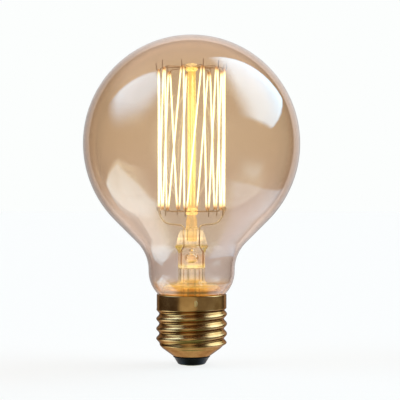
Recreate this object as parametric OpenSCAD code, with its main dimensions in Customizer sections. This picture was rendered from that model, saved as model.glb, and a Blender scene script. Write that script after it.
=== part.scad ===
// Round glass filament lamp with a squirrel-cage filament and an E27 screw cap.
// Millimetres. The Z axis is the lamp's own axis, and z = 0 is the face of the tip contact.
// Angles run from +X towards +Y, so the side that faces -Y is at 270 degrees.

/* [Globe] */
// Outer diameter of the round part of the glass
globe_d = 80; // [76:1:125]
// Thickness of the blown glass
glass_wall = 0.7; // [0.5:0.05:1]
// Outer diameter of the neck at its waist
waist_d = 31.8; // [30:0.1:36]
// Height of the straight stretch at the waist
waist_h = 0.4; // [0:0.1:6]
// Radius of the hollow curve that joins the cone under the globe to the waist
neck_curve_r = 14.5; // [8:0.5:18]
// Radius of the shoulder that turns in from the waist to the cap
shoulder_r = 12; // [8:0.5:14]

/* [Cap] */
// Height of the cap from the tip contact to its rim
cap_h = 26; // [25:0.1:30]
// Diameter over the thread's crests
thread_d = 26.2; // [26:0.05:26.5]
// Depth of the thread
thread_depth = 1.1; // [1:0.05:1.2]
// Rise of the thread in one turn
thread_pitch = 3.629; // [3.5:0.001:3.8]
// Outer diameter of the plain skirt above the thread
skirt_d = 25.8; // [25.6:0.05:26]
// Height of the plain skirt
skirt_h = 4.7; // [4:0.1:6]
// Thickness of the cap's sheet brass
cap_wall = 0.3; // [0.2:0.02:0.36]
// Outer diameter of the brass at its lower mouth
mouth_d = 14; // [13:0.2:16]
// Height of the brass mouth above the tip contact
mouth_z = 3.4; // [3:0.1:4.4]
// Diameter of the black insulator at its foot
insulator_foot_d = 10.6; // [10:0.1:12]
// Diameter of the tip contact's plate
contact_d = 8.8; // [8:0.1:9.4]
// Thickness of the tip contact's plate
contact_t = 0.5; // [0.3:0.05:0.8]
// Outer diameter of the tip contact's eyelet
eyelet_d = 2.4; // [2:0.1:3]
// Height of the tip contact's eyelet
eyelet_h = 5.66; // [4:0.01:6]

/* [Stem] */
// Outer diameter of the stem tube
stem_tube_d = 9.9; // [9.4:0.1:11]
// Thickness of the stem tube's glass
stem_wall = 1; // [0.8:0.05:1.1]
// Outer diameter of the bell that the stem tube opens into
bell_d = 21.8; // [21:0.1:22.4]
// Radius of the bell's round shoulder
bell_round_r = 2.4; // [1.6:0.1:3]
// Radius of the hollow curve between the stem tube and the bell
flare_r = 1.2; // [0.8:0.1:2]
// Height above the rim of the cap at which the stem tube starts to open
flare_rise = 5.3; // [4:0.1:7]
// Height of the stem tube from that place to the plug
stem_tube_h = 4.5; // [3:0.1:14]
// Height of the round glass plug on the stem tube
plug_h = 6.7; // [5.2:0.1:8]
// Height of the flat pinch, with the slope that leads up to it
pinch_h = 7.8; // [7:0.1:12]
// Thickness of the flat pinch
pinch_t = 4.4; // [4:0.1:5]
// Width of the flat pinch at its top
pinch_w = 8.4; // [7.8:0.1:9.2]
// Width of the flat pinch at its broadest, above the plug
pinch_foot_w = 12.4; // [10:0.1:13]
// Outer diameter of the exhaust tube
exhaust_d = 3.8; // [3:0.1:4.2]
// Thickness of the exhaust tube's glass
exhaust_wall = 0.8; // [0.5:0.05:1]
// Diameter of the glass rod that carries the supports
rod_d = 3; // [2.6:0.1:3.4]
// Diameter of the rod's foot, from the pinch to the lower bead
rod_foot_d = 4; // [3.6:0.1:4.2]

/* [Cage] */
// Diameter of the circle on which the filament hangs
cage_d = 24.4; // [20:0.2:30]
// Depth of the filament's upper seats below the top of the globe
cage_drop = 13.1; // [12:0.1:24]
// Height of the cage's lower seats above the top of the pinch
cage_rise = 7.6; // [7:0.1:10]
// Number of upper supports, half of them in each half of the cage
upper_count = 10; // [6:2:14]
// Turn of the whole cage about the lamp's axis, in degrees
cage_turn = 9; // [0:1:20]
// Diameter of the filament wire
filament_d = 0.45; // [0.35:0.01:0.5]
// Radius of the filament's bend round a support
bend_r = 0.5; // [0.48:0.01:0.6]
// Diameter of a support wire
support_d = 0.34; // [0.25:0.01:0.36]
// Diameter of the glass bead at the top of the rod
upper_bead_d = 4.6; // [4.4:0.1:7]
// Diameter of the glass bead under the cage
lower_bead_d = 4.6; // [4.4:0.1:7]
// Height of both glass beads
bead_h = 2.7; // [2.2:0.1:3.4]
// Length of the upturned end of a support beyond its arm
hook_h = 1.7; // [1:0.1:3]
// Scatter of the supports about their even spacing, in degrees
scatter = 2; // [0:0.5:3]
// Degrees by which the upper supports crowd towards the front left
crowding = 8; // [0:0.5:8]

/* [Leads] */
// Diameter of the nickel wires that hold the filament's ends
inner_lead_d = 0.7; // [0.5:0.05:0.9]
// Diameter of the copper-clad wires sealed in the pinch
seal_wire_d = 0.4; // [0.3:0.05:0.5]
// Diameter of the copper wires that run down to the cap
outer_lead_d = 0.3; // [0.2:0.02:0.32]
// Diameter of the clamps on the filament's ends
clamp_d = 1.8; // [1.7:0.05:2.2]
// Height of the clamps on the filament's ends
clamp_h = 1.6; // [1.2:0.1:2.4]
// Direction of the side weld on the cap's skirt, in degrees
weld_turn = 277; // [180:1:350]

/* [Hidden] */

$fn = 96;
fit = 0.02;         // play left round a wire in its bore, and between seated faces
glass_fit = 0.06;   // play between the cap's sheet brass and the glass or cement inside it
turned = 6;         // degrees between the points of a turned outline

// Cap
thread_r = thread_d / 2;
root_r = thread_r - thread_depth;
skirt_r = skirt_d / 2;
skirt_z = cap_h - skirt_h;
dome_r = 3.6;       // radius of the bend from the thread down to the mouth
dome_angle = 54;    // how far that bend turns in
dome_x = root_r - dome_r;
mouth_r = mouth_d / 2;
mouth_run = (dome_x + dome_r * cos(dome_angle) - mouth_r) / sin(dome_angle);
dome_z = mouth_z + mouth_run * cos(dome_angle) + dome_r * sin(dome_angle);
thread_phase = 0.17; // share of a turn by which the thread starts before +X
thread_low_z = dome_z - 2.3;    // height at which the thread starts to stand out of the cap's foot
cap_columns = 44;   // points round one ring of the threaded shell
rows_per_turn = 8;  // rings of the threaded shell in one turn of the thread
tongue = 0.6;       // how far the threaded sheet runs up inside the skirt's wall

// Contact and solder
contact_r = contact_d / 2;
contact_proud = 0.2;    // how far the plate stands out of the insulator
eyelet_r = eyelet_d / 2;
eyelet_wall = 0.3;
insulator_foot_r = insulator_foot_d / 2;
foot_round = 0.8;
insulator_top_z = dome_z;
eyelet_top_z = eyelet_h;
solder_set_back = 0.05;
solder_h = 3;
outer_lead_r = outer_lead_d / 2;
tip_lead_end_z = 0.6;

// Side weld
weld_z = skirt_z + skirt_h * 0.45;
weld_w = 1.5;
weld_h = 2.6;
weld_t = 0.2;
side_hole_r = outer_lead_r + 0.1;

// Stem
tube_r = stem_tube_d / 2;
flare_z = cap_h + flare_rise;
flare_x = tube_r + flare_r;
bell_slope = 8;     // degrees by which the top of the bell falls outwards
bell_x = bell_d / 2 - bell_round_r;
bell_run = bell_x + bell_round_r * sin(bell_slope) - flare_x + flare_r * sin(bell_slope);
bell_z = flare_z - (flare_r + bell_round_r) * cos(bell_slope) - bell_run * tan(bell_slope);
plug_z = flare_z + stem_tube_h;
slope_z = plug_z + plug_h;
slope_h = 2.6;      // height of the slope between the round plug and the flat pinch
pinch_foot_h = 2;   // height above the plug at which the pinch is broadest
pinch_z = slope_z + pinch_h;
exhaust_r = exhaust_d / 2;
exhaust_bore_r = exhaust_r - exhaust_wall;
exhaust_tip_z = eyelet_top_z + 4;
rod_r = rod_d / 2;
rod_foot_r = rod_foot_d / 2;
rod_set = 4.5;      // depth of the rod in the pinch
rod_taper_h = 1.6;  // height over which the rod's foot narrows under the lower bead
lead_x = (exhaust_r + tube_r - stem_wall) / 2;
vent_r = min(2.2, lead_x - seal_wire_d / 2 - 0.45);
vent_z = plug_z + plug_h * 0.6;
vent_hole_r = 0.9;

// Neck
neck_low_r = root_r - cap_wall - 0.6;
neck_seat_r = skirt_r - cap_wall - 0.4;
neck_top_r = skirt_r - 0.1;
neck_top_z = cap_h + 0.5;
neck_seat_z = cap_h - 0.3;
neck_low_z = skirt_z + 0.8;
seal_r = neck_low_r - glass_wall;
seal_top_z = skirt_z - 2.2;
seal_low_z = seal_top_z - stem_wall;
bell_foot_r = seal_r - 0.3;     // outer radius of the bell where it enters the neck's end

// Globe
globe_r = globe_d / 2;
waist_r = waist_d / 2;
shoulder_x = waist_r - shoulder_r;
shoulder_z = neck_top_z + sqrt(pow(shoulder_r, 2) - pow(neck_top_r - shoulder_x, 2));
shoulder_end = asin((neck_top_z - shoulder_z) / shoulder_r);
neck_curve_z = shoulder_z + waist_h;
cone_foot_z = neck_curve_z + neck_curve_r * tan(22.5);
globe_z = cone_foot_z - waist_r + globe_r * sqrt(2);

// Cage
cage_r = cage_d / 2;
seat_low_z = pinch_z + cage_rise;
seat_top_z = globe_z + globe_r - cage_drop;
arm_rise = 1.3;     // height between a filament seat and the arm that carries it
arm_low_z = seat_low_z - arm_rise;
arm_top_z = seat_top_z + arm_rise;
support_r = support_d / 2;
filament_r = filament_d / 2;
arm_start_r = rod_r + 0.15;     // where an arm starts inside its bead
lower_count = upper_count - 2;
step = 360 / upper_count;
clamp_r = clamp_d / 2;
clamp_top_z = seat_low_z + 0.5;
clamp_low_z = clamp_top_z - clamp_h;
clamp_gap = max(bend_r * 2 - 0.1, filament_d + 0.42);   // between the two filament ends in a clamp
end_depth = 0.5;
inner_lead_r = inner_lead_d / 2;
seal_wire_r = seal_wire_d / 2;
weld_low_z = plug_z + 1;        // joint of the outer lead and the seal wire
weld_high_z = pinch_z - 2;      // joint of the seal wire and the inner lead

// Vectors, curves and tubes

function mix(a, b, t) = a + (b - a) * t;
function ease(t) = let (c = min(1, max(0, t))) c * c * (3 - 2 * c);
function unit(v) = v / norm(v);
function out(angle) = [cos(angle), sin(angle), 0];
function along(angle) = [-sin(angle), cos(angle), 0];
function up(z) = [0, 0, z];
function flip(list) = [for (i = [len(list) - 1:-1:0]) list[i]];

// Points on an arc about [x, z], from one angle to another
function arc(x, z, r, from, to) =
    let (steps = max(2, ceil(abs(to - from) / turned)))
    [for (i = [0:steps]) let (a = mix(from, to, i / steps)) [x + r * cos(a), z + r * sin(a)]];

// A smooth curve through hand-picked points, with some points between each pair
function curve(p, between) =
    let (last = len(p) - 1)
    concat(
        [for (i = [0:last - 1], s = [0:between])
            let (
                t = s / (between + 1),
                a = p[max(0, i - 1)], b = p[i], c = p[i + 1], d = p[min(last, i + 2)],
                slow = (c - a) * t,
                fast = (2 * a - 5 * b + 4 * c - d) * t * t + (3 * b - a - 3 * c + d) * t * t * t)
            b + (slow + fast) / 2],
        [p[last]]);

// A point of a radial plane, given by its distance from the axis and its height
function in_plane(p, angle) = p[0] * out(angle) + up(p[1]);

function quad(a, b, c, d) = [[a, b, c], [a, c, d]];

// Faces of a closed skin over rings of points, with both ends capped
function skin_faces(rings, sides) = concat(
    [for (i = [0:rings - 2], j = [0:sides - 1])
        let (k = (j + 1) % sides, low = i * sides, high = low + sides)
        each quad(low + j, high + j, high + k, low + k)],
    [for (j = [1:sides - 2]) [0, j, j + 1]],
    [for (j = [1:sides - 2]) let (top = (rings - 1) * sides) [top, top + j + 1, top + j]]);

// A round wire along a path. The side vectors keep its rings from twisting
module wire(path, side, r, sides) {
    last = len(path) - 1;
    rings = [for (i = [0:last])
        let (
            t = unit(path[min(last, i + 1)] - path[max(0, i - 1)]),
            s = is_list(side[0]) ? side[i] : side,
            v = unit(cross(t, s)),
            u = cross(v, t))
        for (j = [0:sides - 1])
            let (a = 360 * j / sides) path[i] + r * (cos(a) * u + sin(a) * v)];
    polyhedron(rings, skin_faces(last + 1, sides), convexity = 10);
}

// Bore for a wire, from a point in a given direction
module bore(at, direction, r, depth) {
    tilt = acos(direction[2] / norm(direction));
    turn = atan2(direction[1], direction[0]);
    translate(at) rotate([0, tilt, turn]) cylinder(r = r, h = depth, $fn = 24);
}

// Globe: one outline, drawn at the outer face and again a wall's thickness inside it

function neck_outline(inset) = concat(
    [[neck_low_r - inset, seal_low_z],
     [neck_low_r - inset, neck_low_z],
     [neck_seat_r - inset, neck_seat_z]],
    arc(shoulder_x, shoulder_z, shoulder_r - inset, shoulder_end, 0),
    arc(waist_r + neck_curve_r, neck_curve_z, neck_curve_r + inset, 180, 135),
    arc(0, globe_z, globe_r - inset, -45, 90));

module globe() color([0.93, 0.79, 0.6, 0.35])
    rotate_extrude()
        polygon(concat(neck_outline(0), flip(neck_outline(glass_wall))));

// Cap

function dome_outline(inset) = concat(
    [[mouth_r - inset * cos(dome_angle), mouth_z + inset * sin(dome_angle)]],
    arc(dome_x, dome_z, dome_r - inset, -dome_angle, 0));

// Half the thread's depth, as far as the thread has risen out of the cap's foot at a height
function thread_lift(z) = thread_depth / 2 * ease((z - thread_low_z) / (thread_pitch * 0.45));

// Each row of the threaded shell is [outer radius, outer z, inner radius, inner z, wave of the thread]
function dome_rows() =
    let (outer = dome_outline(0), inner = dome_outline(cap_wall))
    [for (i = [0:len(outer) - 1])
        let (lift = thread_lift(outer[i][1]))
        [outer[i][0] + lift, outer[i][1], inner[i][0] + lift, inner[i][1], lift]];

function thread_rows() =
    let (
        bottom = dome_z + 0.4,
        top = skirt_z - 0.25,
        count = ceil((top - bottom) / thread_pitch * rows_per_turn),
        joint = skirt_r - cap_wall / 6)
    [for (i = [0:count])
        let (
            z = mix(bottom, top, i / count),
            finish = ease((z - top) / (thread_pitch * 0.3) + 1),
            r = mix(root_r + thread_lift(z), joint, finish))
        [r, z, r - cap_wall * 5 / 6, z, thread_lift(z) * (1 - finish)]];

function tongue_rows() =
    let (outer = skirt_r - cap_wall / 6, inner = skirt_r - cap_wall * 5 / 6)
    [[outer, skirt_z - 0.1, inner, skirt_z - 0.1, 0],
     [outer, skirt_z + tongue, inner, skirt_z + tongue, 0]];

function shell_ring(r, z, wave) = [for (j = [0:cap_columns - 1])
    let (a = 360 * j / cap_columns, d = r + wave * cos(360 * (z / thread_pitch - thread_phase) - a))
    [d * cos(a), d * sin(a), z]];

function shell_faces(rows) =
    let (n = cap_columns, inside = rows * n, top = (rows - 1) * n)
    [for (j = [0:n - 1]) let (k = (j + 1) % n) each concat(
        quad(k, inside + k, inside + j, j),
        quad(top + j, inside + top + j, inside + top + k, top + k),
        [for (i = [0:rows - 2]) let (low = i * n, high = low + n) each concat(
            quad(low + j, high + j, high + k, low + k),
            quad(inside + low + k, inside + high + k, inside + high + j, inside + low + j))])];

module threaded_sheet() {
    rows = concat(dome_rows(), thread_rows(), tongue_rows());
    outside = [for (w = rows) each shell_ring(w[0], w[1], w[4])];
    inside = [for (w = rows) each shell_ring(w[2], w[3], w[4])];
    polyhedron(concat(outside, inside), shell_faces(len(rows)), convexity = 10);
}

module cap_shell() color([0.62, 0.47, 0.22])
    union() {
        threaded_sheet();
        translate([0, 0, skirt_z]) difference() {
            cylinder(r = skirt_r, h = skirt_h);
            translate([0, 0, -1]) cylinder(r = skirt_r - cap_wall, h = skirt_h + 2);
            bore(up(weld_z - skirt_z), out(weld_turn), side_hole_r, skirt_r + 1);
        }
    }

module cap_insulator() color([0.06, 0.05, 0.05])
    rotate_extrude()
        polygon(concat(
            [[contact_r + fit, contact_t + fit], [contact_r + fit, contact_proud]],
            arc(insulator_foot_r - foot_round, contact_proud + foot_round, foot_round, -90, -24),
            [[mouth_r - 0.15, mouth_z - 0.1]],
            dome_outline(cap_wall + glass_fit),
            [[dome_x, dome_z], [eyelet_r + 0.7, eyelet_top_z], [eyelet_r + fit, eyelet_top_z],
             [eyelet_r + fit, contact_t + fit]]));

module tip_contact() color([0.72, 0.58, 0.32])
    rotate_extrude()
        polygon([
            [eyelet_r - eyelet_wall, 0], [contact_r - contact_proud, 0], [contact_r, contact_proud],
            [contact_r, contact_t], [eyelet_r, contact_t], [eyelet_r, eyelet_top_z],
            [eyelet_r - eyelet_wall, eyelet_top_z]]);

module tip_solder() color([0.68, 0.68, 0.7])
    rotate_extrude()
        polygon([
            [0, solder_set_back], [eyelet_r - eyelet_wall - fit, solder_set_back],
            [eyelet_r - eyelet_wall - fit, solder_h], [outer_lead_r + fit, solder_h],
            [outer_lead_r + fit, tip_lead_end_z - fit], [0, tip_lead_end_z - fit]]);

module side_weld() color([0.7, 0.66, 0.56])
    difference() {
        rotate([0, 0, weld_turn]) translate([skirt_r - cap_wall, 0, weld_z]) rotate([90, 0, 90])
            linear_extrude(cap_wall + weld_t)
                polygon(concat(
                    arc(0, (weld_h - weld_w) / 2, weld_w / 2, 0, 180),
                    arc(0, (weld_w - weld_h) / 2, weld_w / 2, 180, 360)));
        cylinder(r = skirt_r, h = cap_h, $fn = 480);
        bore(up(weld_z), out(weld_turn), outer_lead_r + fit, skirt_r + weld_t * 0.6);
    }

module basing_cement() color([0.83, 0.77, 0.66]) {
    outer_r = skirt_r - cap_wall - glass_fit;
    low_z = neck_low_z - 0.4;
    high_z = cap_h - 0.15;
    difference() {
        rotate_extrude()
            polygon([
                [neck_low_r + glass_fit, low_z], [outer_r, low_z], [outer_r, high_z],
                [neck_seat_r + glass_fit, high_z], [neck_seat_r + glass_fit, neck_seat_z],
                [neck_low_r + glass_fit, neck_low_z]]);
        rotate([0, 0, weld_turn]) translate([neck_low_r, -0.5, skirt_z])
            cube([skirt_r, 1, weld_z - skirt_z + 0.5]);
    }
}

// Stem

// From the tube out over the bell's shoulder, at the outer face or a wall's thickness inside it
function bell_outline(inset) = concat(
    arc(flare_x, flare_z, flare_r + inset, 180, 270 - bell_slope),
    arc(bell_x, bell_z, bell_round_r - inset, 90 - bell_slope, 0));

module flare_tube() color([0.9, 0.88, 0.84, 0.5])
    rotate_extrude()
        polygon(concat(
            [[tube_r, plug_z]], bell_outline(0),
            [[bell_foot_r, neck_low_z], [seal_r - fit, seal_top_z], [seal_r - fit, seal_low_z],
             [bell_foot_r - stem_wall, seal_low_z], [bell_foot_r - stem_wall, neck_low_z]],
            flip(bell_outline(stem_wall)), [[tube_r - stem_wall, plug_z]]));

module exhaust_tube() color([0.88, 0.88, 0.86, 0.5])
    rotate_extrude()
        polygon([
            [exhaust_bore_r, plug_z], [exhaust_r, plug_z], [exhaust_r, exhaust_tip_z + 4],
            [exhaust_r * 0.6, exhaust_tip_z + 1.4], [exhaust_r * 0.2, exhaust_tip_z], [0, exhaust_tip_z],
            [0, exhaust_tip_z + 1.6], [exhaust_bore_r, exhaust_tip_z + 4.2]]);

// The plug is round and the pinch above it is pressed flat, with the leads side by side across it
module pinch() color([0.92, 0.82, 0.62, 0.5])
    rotate([0, 0, cage_turn]) difference() {
        intersection() {
            rotate_extrude()
                polygon([
                    [0, plug_z], [tube_r, plug_z], [tube_r, slope_z],
                    [pinch_foot_w / 2, slope_z + pinch_foot_h], [pinch_w / 2, pinch_z], [0, pinch_z]]);
            rotate([90, 0, 90]) translate([0, 0, -pinch_foot_w]) linear_extrude(pinch_foot_w * 2)
                polygon([
                    [-tube_r - 1, plug_z - 1], [tube_r + 1, plug_z - 1], [tube_r + 1, slope_z],
                    [tube_r, slope_z], [pinch_t / 2, slope_z + slope_h], [pinch_t / 2, pinch_z + 1],
                    [-pinch_t / 2, pinch_z + 1], [-pinch_t / 2, slope_z + slope_h],
                    [-tube_r, slope_z], [-tube_r - 1, slope_z]]);
        }
        for (s = [-1, 1]) {
            bore([s * lead_x, 0, plug_z - 1], up(1), seal_wire_r + fit, pinch_z - plug_z);
            bore([s * lead_x, 0, weld_high_z - fit], up(1), inner_lead_r + fit, 10);
        }
        translate([0, 0, pinch_z - rod_set]) cylinder(r = rod_foot_r + fit, h = rod_set + 1);
        translate([0, 0, plug_z - 1]) cylinder(r = exhaust_bore_r, h = vent_z - plug_z + 1);
        translate([0, 0, vent_z]) sphere(r = vent_r);
        bore([0, 0, vent_z], [0, -1, 0], vent_hole_r, tube_r + 1);
    }

module centre_rod() color([0.98, 0.85, 0.3])
    rotate_extrude()
        polygon([
            [0, pinch_z - rod_set + fit], [rod_foot_r, pinch_z - rod_set + fit],
            [rod_foot_r, arm_low_z - bead_h / 2 - rod_taper_h], [rod_r, arm_low_z - bead_h / 2 - fit],
            [rod_r, arm_top_z], [0, arm_top_z]]);

module bead(r, z, count, first) {
    round_r = bead_h * 0.3;
    difference() {
        rotate_extrude()
            polygon(concat(
                [[0, z - bead_h / 2]],
                arc(r - round_r, z - bead_h / 2 + round_r, round_r, -90, 0),
                arc(r - round_r, z + bead_h / 2 - round_r, round_r, 0, 90),
                [[0, z + bead_h / 2]]));
        for (k = [1:count])
            bore((arm_start_r - fit) * out(first[k - 1]) + up(z), out(first[k - 1]), support_r + fit, r);
    }
}

module lower_bead() color([0.98, 0.8, 0.35])
    difference() {
        bead(lower_bead_d / 2, arm_low_z, lower_count, lower_turns);
        translate([0, 0, arm_low_z - bead_h]) cylinder(r = rod_r + fit, h = bead_h * 2);
    }

module upper_bead() color([0.98, 0.8, 0.35])
    difference() {
        bead(upper_bead_d / 2, arm_top_z, upper_count, upper_turns);
        translate([0, 0, arm_top_z - bead_h]) cylinder(r = rod_r + fit, h = bead_h + fit);
    }

// Cage. The clamps stand at 0 and 180 degrees of the cage, and each half of the cage lies between them

half = upper_count / 2;
crowd_at = 240;     // direction that the upper supports are shifted round towards most
function drift(k) = scatter * sin(150 * k + 40);
upper_turns = [for (k = [1:upper_count])
    let (a = cage_turn + step * (k - 0.5)) a + crowding * (0.4 + cos(a - crowd_at)) + drift(k)];
// The seats of the lower supports leave out the two places of the clamps
lower_turns = [for (k = [1:lower_count])
    let (place = k < half ? k : k + 1) cage_turn + step * place + drift(k + 20)];

// Arm, seat and upturned end of a support, as seen with the seat below the arm
function support_path(seat_z, side, k) =
    let (end = hook_h * (1 + 0.15 * sin(137 * k)), lean = 0.2 * sin(97 * k))
    curve([
        [arm_start_r, seat_z + side * arm_rise],
        [mix(arm_start_r, cage_r, 0.5), seat_z + side * arm_rise],
        [cage_r - 1.3, seat_z + side * arm_rise * 0.9],
        [cage_r - 0.6, seat_z + side * 0.4],
        [cage_r, seat_z],
        [cage_r + 0.6, seat_z + side * 0.4],
        [cage_r + 0.85, seat_z + side * arm_rise],
        [cage_r + 0.85 + lean, seat_z + side * (arm_rise + end)]], 2);

module support(seat_z, side, turn, k)
    wire([for (p = support_path(seat_z, side, k)) in_plane(p, turn)], along(turn), support_r, 6);

module upper_support(k) color([0.38, 0.27, 0.18])
    support(seat_top_z, 1, upper_turns[k - 1], k);

module lower_support(k) color([0.38, 0.27, 0.18])
    support(seat_low_z, -1, lower_turns[k - 1], k + upper_count);

// Half a turn of the filament round its support: over an upper one, or under a lower one
function bend(turn, z, side) = [for (i = [0:6])
    let (a = 180 - 30 * i)
    cage_r * out(turn) + bend_r * (cos(a) * along(turn) + side * up(sin(a))) + up(z)];

// The filament goes up and down between its seats, and ends in the clamps
function filament_path(first) =
    let (
        from = cage_turn + (first == 1 ? 0 : 180),
        to = from + 180,
        low = [for (k = [1:half - 1]) lower_turns[(first == 1 ? 0 : half - 1) + k - 1]],
        high = [for (k = [1:half]) upper_turns[first + k - 2]],
        start = cage_r * out(from) + clamp_gap / 2 * along(from),
        end = cage_r * out(to) - clamp_gap / 2 * along(to))
    concat(
        [start + up(clamp_top_z - end_depth), start + up(clamp_top_z + 0.2)],
        [for (k = [1:half]) each concat(
            bend(high[k - 1], seat_top_z, 1),
            k < half ? bend(low[k - 1], seat_low_z, -1) : [])],
        [end + up(clamp_top_z + 0.2), end + up(clamp_top_z - end_depth)]);

function side_of(path) = [for (p = path) unit([p[0], p[1], 0])];

module filament(first) color([1, 0.9, 0.6])
    wire(filament_path(first), side_of(filament_path(first)), filament_r, 6);

// Least gap of one filament to itself, measured on points along it, half a turn of a bend apart or more
spacing = 0.4;
function fine(path) = [for (i = [0:len(path) - 2])
    let (count = ceil(norm(path[i + 1] - path[i]) / spacing))
    for (s = [0:count - 1]) mix(path[i], path[i + 1], s / count)];
function least_gap(path) =
    let (p = fine(path), apart = 6)
    min([for (i = [0:len(p) - 1 - apart], j = [i + apart:len(p) - 1]) norm(p[i] - p[j])]) - filament_d;
echo(least_filament_gap = min(least_gap(filament_path(1)), least_gap(filament_path(half + 1))));

module clamp(turn) color([0.62, 0.58, 0.5])
    translate(cage_r * out(turn)) difference() {
        translate(up(clamp_low_z)) cylinder(r = clamp_r, h = clamp_h, $fn = 32);
        bore(up(clamp_low_z - 1), up(1), inner_lead_r + fit, 1 + clamp_h * 0.5);
        for (s = [-1, 1])
            translate(s * clamp_gap / 2 * along(turn))
                bore(up(clamp_top_z - end_depth - fit), up(1), filament_r + fit, 2);
    }

// Leads

// From the pinch, out under the cage and up to a clamp, as shares of the way out and up
lead_route = [[0, 0.05], [0.1, 0.2], [0.34, 0.26], [0.6, 0.3], [0.82, 0.46], [0.95, 0.74]];

module inner_lead(turn) color([0.6, 0.5, 0.36]) {
    shaft = [[lead_x, weld_high_z], [lead_x, pinch_z - 0.8]];
    sweep = [for (s = lead_route) [mix(lead_x, cage_r, s[0]), mix(pinch_z, clamp_low_z, s[1])]];
    seat = [[cage_r, clamp_low_z - 0.1], [cage_r, clamp_low_z + clamp_h * 0.5 - fit]];
    wire([for (p = curve(concat(shaft, sweep, seat), 2)) in_plane(p, turn)], along(turn), inner_lead_r, 8);
}

module seal_wire(turn) color([0.72, 0.36, 0.2])
    translate(lead_x * out(turn) + up(weld_low_z))
        cylinder(r = seal_wire_r, h = weld_high_z - weld_low_z, $fn = 24);

// Down inside the stem tube, past the exhaust tube's tip and through the insulator
module outer_lead_tip() color([0.75, 0.42, 0.24])
    wire(
        [for (p = curve([
            [-lead_x, weld_low_z], [-lead_x, mix(weld_low_z, exhaust_tip_z, 0.5)],
            [-lead_x, exhaust_tip_z + 3],
            [-lead_x * 0.85, exhaust_tip_z + 0.5], [-lead_x * 0.45, exhaust_tip_z - 1.4],
            [-lead_x * 0.08, eyelet_top_z + 1], [0, eyelet_top_z - 0.6],
            [0, mix(eyelet_top_z, tip_lead_end_z, 0.5)], [0, tip_lead_end_z]], 2))
            in_plane(p, cage_turn)],
        along(cage_turn), outer_lead_r, 8);

// Down inside the stem tube, out under the neck's end and up between neck and cap to the weld
module outer_lead_side() color([0.75, 0.42, 0.24]) {
    gap_r = (neck_low_r + root_r - cap_wall) / 2;
    under_z = seal_low_z - 1.6;
    middle = mix(cage_turn + 360, weld_turn, 0.5);
    wire(
        curve([
            lead_x * out(cage_turn) + up(weld_low_z),
            lead_x * out(cage_turn) + up(mix(weld_low_z, under_z, 0.3)),
            lead_x * out(cage_turn) + up(mix(weld_low_z, under_z, 0.6)),
            (lead_x + 0.6) * out(mix(cage_turn + 360, middle, 0.4)) + up(under_z + 2.4),
            gap_r * 0.55 * out(middle) + up(under_z + 0.3),
            gap_r * 0.86 * out(mix(middle, weld_turn, 0.7)) + up(under_z - 0.3),
            gap_r * 0.98 * out(weld_turn) + up(under_z + 0.3),
            gap_r * out(weld_turn) + up(seal_low_z),
            gap_r * out(weld_turn) + up(weld_z - 1.6),
            (gap_r + 0.2) * out(weld_turn) + up(weld_z - 0.5),
            (gap_r + 0.75) * out(weld_turn) + up(weld_z),
            (skirt_r + weld_t * 0.6 - fit) * out(weld_turn) + up(weld_z)], 2),
        along(weld_turn), outer_lead_r, 8);
}

globe();
basing_cement();
cap_shell();
cap_insulator();
tip_contact();
tip_solder();
side_weld();
flare_tube();
exhaust_tube();
pinch();
centre_rod();
lower_bead();
upper_bead();
seal_wire(cage_turn + 180);  // seal_wire_left
seal_wire(cage_turn);  // seal_wire_right
inner_lead(cage_turn + 180);  // inner_lead_left
inner_lead(cage_turn);  // inner_lead_right
outer_lead_tip();
outer_lead_side();
clamp(cage_turn + 180);  // clamp_left
clamp(cage_turn);  // clamp_right
filament(half + 1);  // filament_front
filament(1);  // filament_back
for (k = [1:upper_count])
    upper_support(k);
for (k = [1:lower_count])
    lower_support(k);
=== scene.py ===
"""A round glass filament lamp with a squirrel-cage filament and a brass screw cap."""

import math

import bmesh
import bpy
from mathutils import Matrix, Vector


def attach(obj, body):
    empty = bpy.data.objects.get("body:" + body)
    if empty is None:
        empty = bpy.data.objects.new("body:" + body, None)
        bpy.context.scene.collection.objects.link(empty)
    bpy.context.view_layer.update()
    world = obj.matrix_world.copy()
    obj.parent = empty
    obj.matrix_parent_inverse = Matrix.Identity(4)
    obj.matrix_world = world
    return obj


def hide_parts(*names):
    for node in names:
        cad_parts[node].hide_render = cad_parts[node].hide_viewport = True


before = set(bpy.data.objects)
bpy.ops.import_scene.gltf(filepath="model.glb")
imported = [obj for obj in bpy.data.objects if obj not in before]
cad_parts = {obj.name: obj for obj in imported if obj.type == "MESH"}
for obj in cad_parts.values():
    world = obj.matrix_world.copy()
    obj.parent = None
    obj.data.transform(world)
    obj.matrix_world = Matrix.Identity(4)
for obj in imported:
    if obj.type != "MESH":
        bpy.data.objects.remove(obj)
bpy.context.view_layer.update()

MM = 0.001
SMOOTH_ANGLE = math.radians(38)
DOUBLES_DISTANCE = 1e-7

# Sizes of the lamp in millimetres, as in the part's source. The wires' radii and the weld are set here.

# Globe
GLOBE_R, GLOBE_Z, GLASS_WALL = 40.0, 81.624, 0.7
WAIST_R, NECK_CURVE_R, NECK_CURVE_Z = 15.9, 14.5, 34.949
SHOULDER_R, SHOULDER_Z = 12.0, 34.549
NECK_LOW_R, NECK_LOW_Z = 11.1, 22.1
NECK_SEAT_R, NECK_SEAT_Z = 12.2, 25.7

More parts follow.
